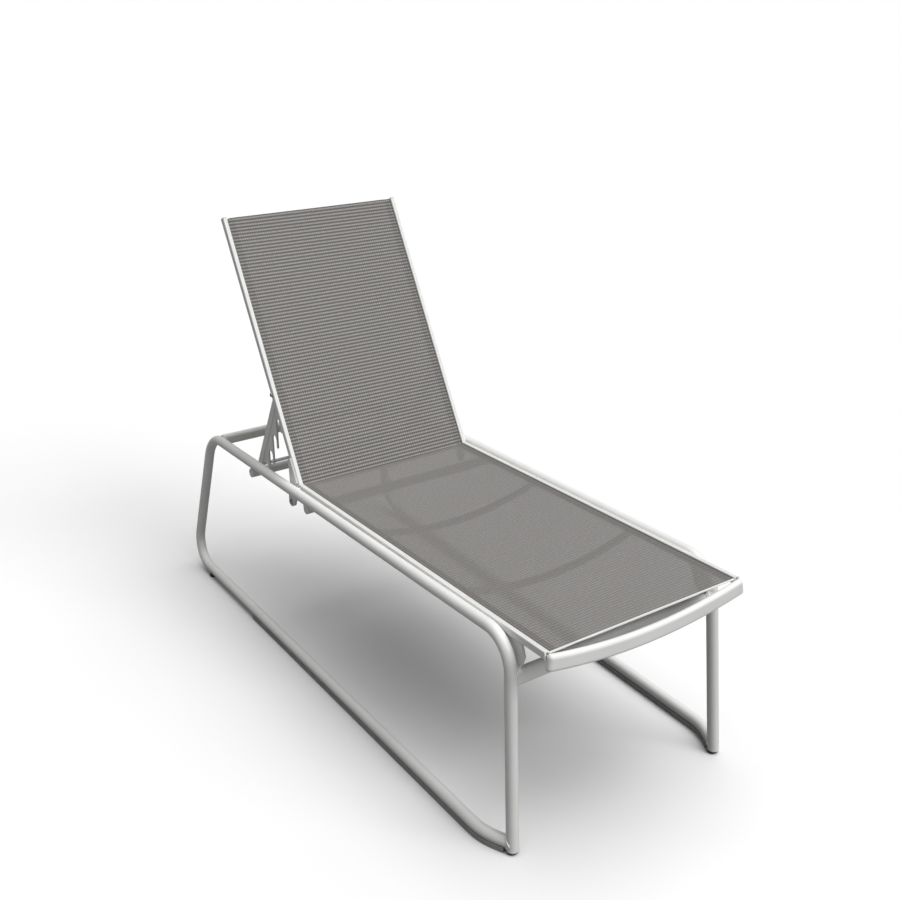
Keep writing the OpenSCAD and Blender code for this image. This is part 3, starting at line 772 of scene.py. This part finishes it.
ACROSS = Vector((1, 0, 0))
UP = Vector((0, 0, 1))
DECK_ALONG = (DECK.to_3x3() @ Vector((0, 1, 0))).normalized()
DECK_UP = (DECK.to_3x3() @ UP).normalized()
BACK_ALONG = (BACK.to_3x3() @ Vector((0, 1, 0))).normalized()
BACK_UP = (BACK.to_3x3() @ UP).normalized()

# Corners of the left side frame
FRONT_TOP = Vector((286.8, -726.24, 503.01)) * MM
REAR_TOP = Vector((297.8, 768.76, 445.62)) * MM
FRONT_FOOT = Vector((303.8, -772.24, 24)) * MM
TOE = Vector((335.8, -706.24, 24)) * MM

# Crossbars, bows and tubes: places along the seat or the back, drops below it, and sizes
HINGE_BAR_Y = -98 * MM
CATCH_BAR_Y = 236 * MM
REAR_BAR_Y = 466 * MM
REAR_BAR_DROP = 3 * MM
REAR_BAR_W = 22 * MM
REAR_BAR_H = 32 * MM
FRONT_BAR_W = 22 * MM
FRONT_BAR_H = 40 * MM
BOW_R = 9 * MM
BOW_DROP = 11 * MM
BOW_SHARES = (0.32, 0.68)
BACK_BOW_BELOW = 21 * MM
BOTTOM_TUBE_UP = 30 * MM
BOTTOM_TUBE_R = 9.5 * MM
BOTTOM_TUBE_GAP = 2 * MM

# The hinge tab's outer face, the side tube's middle beside it, and half of the tab's bead
TAB_OUT = 282 * MM
TUBE_X_AT_HINGE = 294.1 * MM
TAB_BEAD_HALF = 12 * MM
# The hinge plate along the back: its ends, and where its arm down to the pin leaves the rail
PLATE_START = 8 * MM
PLATE_END = 78 * MM
PLATE_ARM = 32 * MM
# How far the bead below the rail lies inside the rail's outer face, and over its underside
UNDER_INSET = 1.2 * MM
UNDER_RISE = 0.2 * MM
# A rail bracket's thickness and its ends along the seat
BRACKET_T = 5 * MM
BRACKET_START = -974 * MM
BRACKET_END = -916 * MM
# The bracket's bead over the front crossbar stops this far short of level on both sides
SADDLE_SHORT = math.radians(8)
# How far a round crossbar ends past the side tube's middle
BAR_END = 11 * MM

# How far the lines of the beads stand off the faces that they join: on side tubes, round
# crossbars, on bows and rails, and along the edges and the sides of plates
BEAD_LIFT = 0.7 * MM
BAR_LIFT = 1 * MM
BOW_LIFT = 0.4 * MM
EDGE_LIFT = 0.5 * MM
SIDE_LIFT = 0.6 * MM
# Height over the side tube's middle at which the rear crossbar's bead runs level
LEVEL_TOP = 13.2 * MM
# Points of an oval, half a round crossbar's bead, the runner's bead and a bracket's over its bar
OVAL_POINTS, BAR_POINTS, RUNNER_POINTS, SADDLE_POINTS = 56, 90, 48, 24


def side_weld_lines(bar):
    """The welds of crossbars and runner on the left side frame, bar being the front crossbar's
    middle."""
    tube = (FRONT_TOP, REAR_TOP - FRONT_TOP)
    leg = (FRONT_FOOT, FRONT_TOP - FRONT_FOOT, TUBE_R + BEAD_LIFT)
    # The rear crossbar is a little taller than the tube, so its bead runs level over the tube's top
    high = REAR_BAR_DROP - TUBE_DROP + LEVEL_TOP
    oval = oval_about(REAR_BAR_W + 2 * BEAD_LIFT, REAR_BAR_H + 2 * BEAD_LIFT)
    ring = [DECK @ Vector((0, REAR_BAR_Y + y, -REAR_BAR_DROP + min(z, high))) for y, z in oval]
    lines = [(meeting(ring, ACROSS, *tube, TUBE_R + BEAD_LIFT), True)]
    for y, drop in ((HINGE_BAR_Y, HINGE_BAR_DROP), (CATCH_BAR_Y, CATCH_BAR_DROP)):
        middle = DECK @ Vector((0, y, -drop))
        arc = ring_about(middle, DECK_ALONG, DECK_UP, BAR_R + BAR_LIFT, BAR_POINTS, math.pi)
        near = meeting(arc, ACROSS, *tube, TUBE_R + BAR_LIFT)
        far = meeting(arc, ACROSS, *tube, TUBE_R + BAR_LIFT, far=True)
        end = (near[0].x + far[0].x) / 2 + BAR_END
        far = [Vector((min(point.x, end), point.y, point.z)) for point in far]
        lines.append((near + far[::-1], True))
    oval = oval_about(FRONT_BAR_W + 2 * BEAD_LIFT, FRONT_BAR_H + 2 * BEAD_LIFT)
    lines.append((meeting([bar + Vector((0, y, z)) for y, z in oval], ACROSS, *leg), True))
    runner = (FRONT_FOOT - TOE).normalized()
    ring = ring_about(TOE, runner.cross(UP).normalized(), UP, TUBE_R + BEAD_LIFT, RUNNER_POINTS)
    lines.append((meeting(ring, runner, *leg), True))
    return lines


def deck_weld_lines(bar):
    """The welds of the left seat rail, its bracket and the hinge tab, bar being the front
    crossbar's middle."""
    lines = []
    for share in BOW_SHARES:
        middle = DECK @ Vector((RAIL_IN - BOW_LIFT, -SEAT_L * share, -BOW_DROP))
        lines.append((ring_about(middle, DECK_ALONG, DECK_UP, BOW_R + BOW_LIFT), True))
    # Down the rail's outer face where it meets the foot bow, and across below it
    mid_x, foot_y, mid_z = RAIL_IN + RAIL_W / 2, -SEAT_L + SIDE_LIFT, (RAIL_LIP - RAIL_BASE) / 2
    half_w, half_h = RAIL_W / 2 + BOW_LIFT, (RAIL_LIP + RAIL_BASE) / 2 + BOW_LIFT
    outer = [
        DECK @ Vector((mid_x + half_w * across, foot_y, mid_z + half_h * up))
        for across, up in ((1, 0.9), (1, -1), (-0.8, -1))
    ]
    lines.append((outer, False))
    # The bracket: along the rail's underside, and over the front crossbar's rounded top
    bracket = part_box("rail_brackets")
    x_in, x_out = bracket[1].x - BRACKET_T, bracket[1].x
    for x in (x_in - BOW_LIFT, x_out + BOW_LIFT):
        ends = (BRACKET_START, BRACKET_END)
        lines.append(([DECK @ Vector((x, y, -RAIL_BASE - EDGE_LIFT)) for y in ends], False))
    crown = bar + UP * (FRONT_BAR_H - FRONT_BAR_W) / 2
    radius = FRONT_BAR_W / 2 + BOW_LIFT
    for x in (x_in - SIDE_LIFT, x_out + SIDE_LIFT):
        turns = evenly(SADDLE_SHORT, math.pi - SADDLE_SHORT, SADDLE_POINTS)
        saddle = [crown + Vector((x, radius * math.cos(a), radius * math.sin(a))) for a in turns]
        lines.append((saddle, False))
    # Under the side tube, along the foot of the hinge tab
    tab_drop = math.sqrt(TUBE_R**2 - (TUBE_X_AT_HINGE - TAB_OUT) ** 2)
    pin = DECK @ Vector((0, PIVOT_BACK, -TUBE_DROP))
    seam = pin + ACROSS * (TAB_OUT + EDGE_LIFT) - DECK_UP * (tab_drop + SIDE_LIFT)
    lines.append(([seam - DECK_ALONG * TAB_BEAD_HALF, seam + DECK_ALONG * TAB_BEAD_HALF], False))
    return lines


def frame_weld_lines():
    """The lines of the welds on the left side of the frame, each with True where it closes."""
    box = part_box("front_crossbar")
    bar = Vector((0, (box[0].y + box[1].y) / 2, (box[0].z + box[1].z) / 2))
    return side_weld_lines(bar) + deck_weld_lines(bar)


def back_weld_lines():
    """The lines of the welds on the left side of the back, each with True where it closes."""
    lines = []
    for y, drop, radius in (
        (BACK_L - BACK_BOW_BELOW, BOW_DROP, BOW_R),
        (BOTTOM_TUBE_UP, BOTTOM_TUBE_R + BOTTOM_TUBE_GAP, BOTTOM_TUBE_R),
    ):
        middle = BACK @ Vector((RAIL_IN - BOW_LIFT, y, -drop))
        lines.append((ring_about(middle, BACK_ALONG, BACK_UP, radius + BOW_LIFT), True))
    # Round the hinge plate: along the rail's top edge, down the plate's end, and back below the rail
    outer, inner = RAIL_IN + RAIL_W + EDGE_LIFT, RAIL_IN + RAIL_W - UNDER_INSET
    edge = [(outer, y, EDGE_LIFT) for y in (PLATE_START, PLATE_END)]
    end = [(outer, PLATE_END + EDGE_LIFT, z) for z in (0, -RAIL_BASE)]
    under = [(inner, y, -RAIL_BASE + UNDER_RISE) for y in (PLATE_END, PLATE_ARM)]
    for line in (edge, end, under):
        lines.append(([BACK @ Vector(point) for point in line], False))
    return lines


class CHAISE_OT_welds(bpy.types.Operator):
    """Lay the weld beads where the tubes and rails meet"""

    bl_idname = "chaise.welds"
    bl_label = "Welds"

    def execute(self, context):
        scene = context.scene
        sizes = scene.chaise_sizes
        for name, lines, body in (
            ("frame_weld_beads", frame_weld_lines(), "frame"),
            ("back_weld_beads", back_weld_lines(), "backrest"),
        ):
            bm = bmesh.new()
            for points, closed in lines:
                bead(bm, points, sizes.bead_r, sizes.ripple, closed)
                bead(bm, mirrored(points), sizes.bead_r, sizes.ripple, closed)
            piece = build(name, bm, "coat", scene, crease=60)
            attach(piece, body)
        return {"FINISHED"}


# The fixings

# In the solids: the radius of a bolt's head and of a nut over the bolt's own, and the head's height
HEAD_SHARE, NUT_SHARE = 2, 1.75
HEAD_H = 4 * MM
# The tail's thread: its rings by turns at root and crest, their distance, and both radii over the
# bolt's own
THREAD_RINGS = 12
THREAD_STEP = 0.62 * MM
ROOT, CREST = 0.88, 0.985
# Here the corners of the head's socket and of the nut, over the bolt's radius
SOCKET, NUT = 0.73, 1.73


def quarters(node):
    """The boxes of a node's copies, one in each corner of the plan where it has any."""
    groups = {}
    for vert in frame["nodes"][node].data.vertices:
        groups.setdefault((vert.co.x > 0, vert.co.y > 0), []).append(vert.co)
    for points in groups.values():
        low = Vector([min(point[i] for point in points) for i in range(3)])
        high = Vector([max(point[i] for point in points) for i in range(3)])
        yield low, high


def hexagon(angle, radius):
    """Distance from the middle to a hexagon's side; radius is to its corners."""
    corner = (angle % (math.pi / 3)) - math.pi / 6
    return radius * math.cos(math.pi / 6) / math.cos(corner)


def cross(angle, radius):
    """Distance from the middle to the edge of a cross recess."""
    return radius * (0.3 + 0.7 * abs(math.cos(2 * angle)) ** 5)


def turned(bm, middle, out, rings, count=48):
    """A turned or formed piece along X: each ring has its place, its radius and, where it isn't
    round, its outline."""
    rows = []
    for x, radius, *outline in rings:
        row = []
        for k in range(count):
            a = 2 * math.pi * k / count
            r = outline[0](a, radius) if outline else radius
            row.append(middle + Vector((out * x, r * math.cos(a), r * math.sin(a))))
        rows.append(row)
    loft(bm, rows)


def button_bolt(bm, middle, out, r, seat_x, tail_x):
    """A domed button head with a hexagon socket, its shank of radius r and a threaded tail."""
    rings = []
    for k in range(THREAD_RINGS):
        rings.append((tail_x + k * THREAD_STEP, r * (CREST if k % 2 else ROOT)))
    # The shank's end, the head's underside and its rim
    rings += [(seat_x - 0.2 * MM, r * 0.99), (seat_x, r * 1.9), (seat_x + 0.4 * MM, r * HEAD_SHARE)]
    for a in evenly(math.radians(12), math.radians(88), 8):
        rings.append((seat_x + 3.9 * MM * math.sin(a), r * (1.1 + 0.9 * math.cos(a))))
    # The socket's chamfered mouth, its walls and its drilled floor
    top = seat_x + 3.92 * MM
    rings += [(top, r * 0.83), (top - 0.2 * MM, r * SOCKET, hexagon), (top - 2.2 * MM, r * SOCKET, hexagon)]
    rings.append((top - 2.8 * MM, r * 0.15))
    turned(bm, middle, out, rings)


def lock_nut(bm, middle, out, r, inner_x, outer_x):
    """A hexagon lock nut with chamfered corners and a round collar on its free side."""
    rings = [
        (outer_x, r * 1.4),
        (outer_x - 0.3 * MM, r * NUT, hexagon),
        (inner_x + 1.5 * MM, r * NUT, hexagon),
        (inner_x + 1.2 * MM, r * 1.43),
        (inner_x + 0.3 * MM, r * 1.35),
        (inner_x, r * 1.22),
        (inner_x + 0.2 * MM, r * 1.03),
    ]
    turned(bm, middle, out, rings)


def pan_screw(bm, middle, out, seat_x):
    """A pan-head screw with a cross recess."""
    # Height over the seat and radius of each ring, in millimetres
    rings = (
        (0, 2.9),
        (0.3, 3),
        (0.9, 2.5),
        (1.18, 1.9),
        (1.18, 1.5, cross),
        (0.4, 1.1, cross),
        (0.2, 0.3),
    )
    rings = [(seat_x + height * MM, radius * MM, *outline) for height, radius, *outline in rings]
    turned(bm, middle, out, rings, 32)


class CHAISE_OT_fixings(bpy.types.Operator):
    """Make the bolts, nuts and screws"""

    bl_idname = "chaise.fixings"
    bl_label = "Fixings"

    def execute(self, context):
        scene = context.scene
        jobs = (
            ("hinge_bolts", "hinge_button_bolts", "frame"),
            ("hinge_nuts", "hinge_lock_nuts", "frame"),
            ("pivot_bolts", "pivot_button_bolts", "backrest"),
            ("pivot_nuts", "pivot_lock_nuts", "backrest"),
            ("glide_screws", "glide_pan_screws", "frame"),
        )
        for node, name, body in jobs:
            bm = bmesh.new()
            for low, high in quarters(node):
                out = 1 if low.x > 0 else -1
                near, far = sorted((abs(low.x), abs(high.x)))
                middle = Vector((0, (low.y + high.y) / 2, (low.z + high.z) / 2))
                half = (high.z - low.z) / 2
                if node.endswith("bolts"):
                    button_bolt(bm, middle, out, half / HEAD_SHARE, far - HEAD_H, near)
                elif node.endswith("nuts"):
                    lock_nut(bm, middle, out, half / NUT_SHARE, near, far)
                else:
                    pan_screw(bm, middle, out, near)
            piece = build(name, bm, "steel", scene)
            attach(piece, body)
            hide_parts(node)
        for node in PLATED:
            finish_node(node, "steel", scene)
        return {"FINISHED"}


class CHAISE_OT_coated_frame(bpy.types.Operator):
    """Give the tubes, rails, bows and plates their powder coat"""

    bl_idname = "chaise.coated_frame"
    bl_label = "Coated frame"

    def execute(self, context):
        for node in PAINTED:
            finish_node(node, "coat", context.scene)
        return {"FINISHED"}


class CHAISE_OT_mouldings(bpy.types.Operator):
    """Give the glides, strips, plugs and splines their moulded plastic"""

    bl_idname = "chaise.mouldings"
    bl_label = "Mouldings"

    def execute(self, context):
        for node, finish in MOULDED.items():
            finish_node(node, finish, context.scene)
        return {"FINISHED"}


# The stage

# The soft boxes: name, the way that each is seen from the chaise, strength, and degrees across
LIGHTS = (
    ("top_box", (0.03, 0, 1), 1.3, 54),
    ("side_box", (0.4, 0.12, 0.9), 0.55, 60),
    ("key_box", (0.24, -0.42, 0.88), 0.55, 40),
    ("front_box", (0.34, -0.76, 0.56), 1.2, 36),
)
# A sun shines the same from any distance; this one only sets its lamp clear of the chaise
LIGHT_FAR = 4
# Half of the floor's side: its edge is lost in the distance
FLOOR_HALF = 120
# Where the fitted camera stood, and a point on its axis
CAMERA_PLACE = (-1.4741, -2.2640, 1.7418)
CAMERA_TARGET = (-0.0013, -0.0863, 0.627)


class CHAISE_OT_stage(bpy.types.Operator):
    """Make the floor, the soft light and the camera"""

    bl_idname = "chaise.stage"
    bl_label = "Stage"

    def execute(self, context):
        scene = context.scene
        settings = scene.chaise_stage
        bm = bmesh.new()
        bmesh.ops.create_grid(bm, x_segments=8, y_segments=8, size=FLOOR_HALF)
        floor = build("studio_floor", bm, "floor", scene)

        for name, way, strength, angle in LIGHTS:
            light = bpy.data.lights.new(name, "SUN")
            light.energy = strength * settings.key
            light.angle = math.radians(angle)
            lamp = bpy.data.objects.new(name, light)
            lamp.location = Vector(way).normalized() * LIGHT_FAR
            lamp.rotation_euler = Vector(way).to_track_quat("Z", "Y").to_euler()
            scene.collection.objects.link(lamp)

        world = bpy.data.worlds.new("studio_sky")
        world.use_nodes = True
        sky = world.node_tree.nodes["Background"]
        fill(world.node_tree, sky, {"Color": (1, 1, 1, 1), "Strength": settings.sky})
        scene.world = world
        scene.view_settings.view_transform = "Standard"

        lens = bpy.data.cameras.new("camera")
        lens.lens = settings.lens
        camera = bpy.data.objects.new("camera", lens)
        camera.location = CAMERA_PLACE
        ahead = Vector(CAMERA_TARGET) - camera.location
        camera.rotation_euler = ahead.to_track_quat("-Z", "Y").to_euler()
        scene.collection.objects.link(camera)
        scene.camera = camera
        return {"FINISHED"}


class CHAISE_PT_panel(bpy.types.Panel):
    """Lists the steps and their sizes"""

    bl_idname = "CHAISE_PT_panel"
    bl_label = "Chaise Lounge"
    bl_space_type = "VIEW_3D"
    bl_region_type = "UI"
    bl_category = "Chaise"

    def draw(self, context):
        scene = context.scene
        for step in STEPS:
            self.layout.operator(step.bl_idname)
        for group in (scene.chaise_sizes, scene.chaise_colours, scene.chaise_stage):
            box = self.layout.box()
            for name in group.bl_rna.properties.keys():
                if name not in ("rna_type", "name"):
                    box.prop(group, name)


STEPS = (
    CHAISE_OT_stage,
    CHAISE_OT_coated_frame,
    CHAISE_OT_mouldings,
    CHAISE_OT_slings,
    CHAISE_OT_welds,
    CHAISE_OT_fixings,
)
GROUPS = {
    "chaise_sizes": ChaiseSizes,
    "chaise_colours": ChaiseColours,
    "chaise_stage": ChaiseStage,
}


def register():
    for kind in (*GROUPS.values(), *STEPS, CHAISE_PT_panel):
        bpy.utils.register_class(kind)
    for name, kind in GROUPS.items():
        setattr(bpy.types.Scene, name, PointerProperty(type=kind))


def unregister():
    for name in GROUPS:
        delattr(bpy.types.Scene, name)
    for kind in reversed((*GROUPS.values(), *STEPS, CHAISE_PT_panel)):
        bpy.utils.unregister_class(kind)


def main():
    register()
    bpy.ops.chaise.stage()
    bpy.ops.chaise.coated_frame()
    bpy.ops.chaise.mouldings()
    bpy.ops.chaise.slings()
    bpy.ops.chaise.welds()
    bpy.ops.chaise.fixings()


if __name__ == "__main__":
    main()
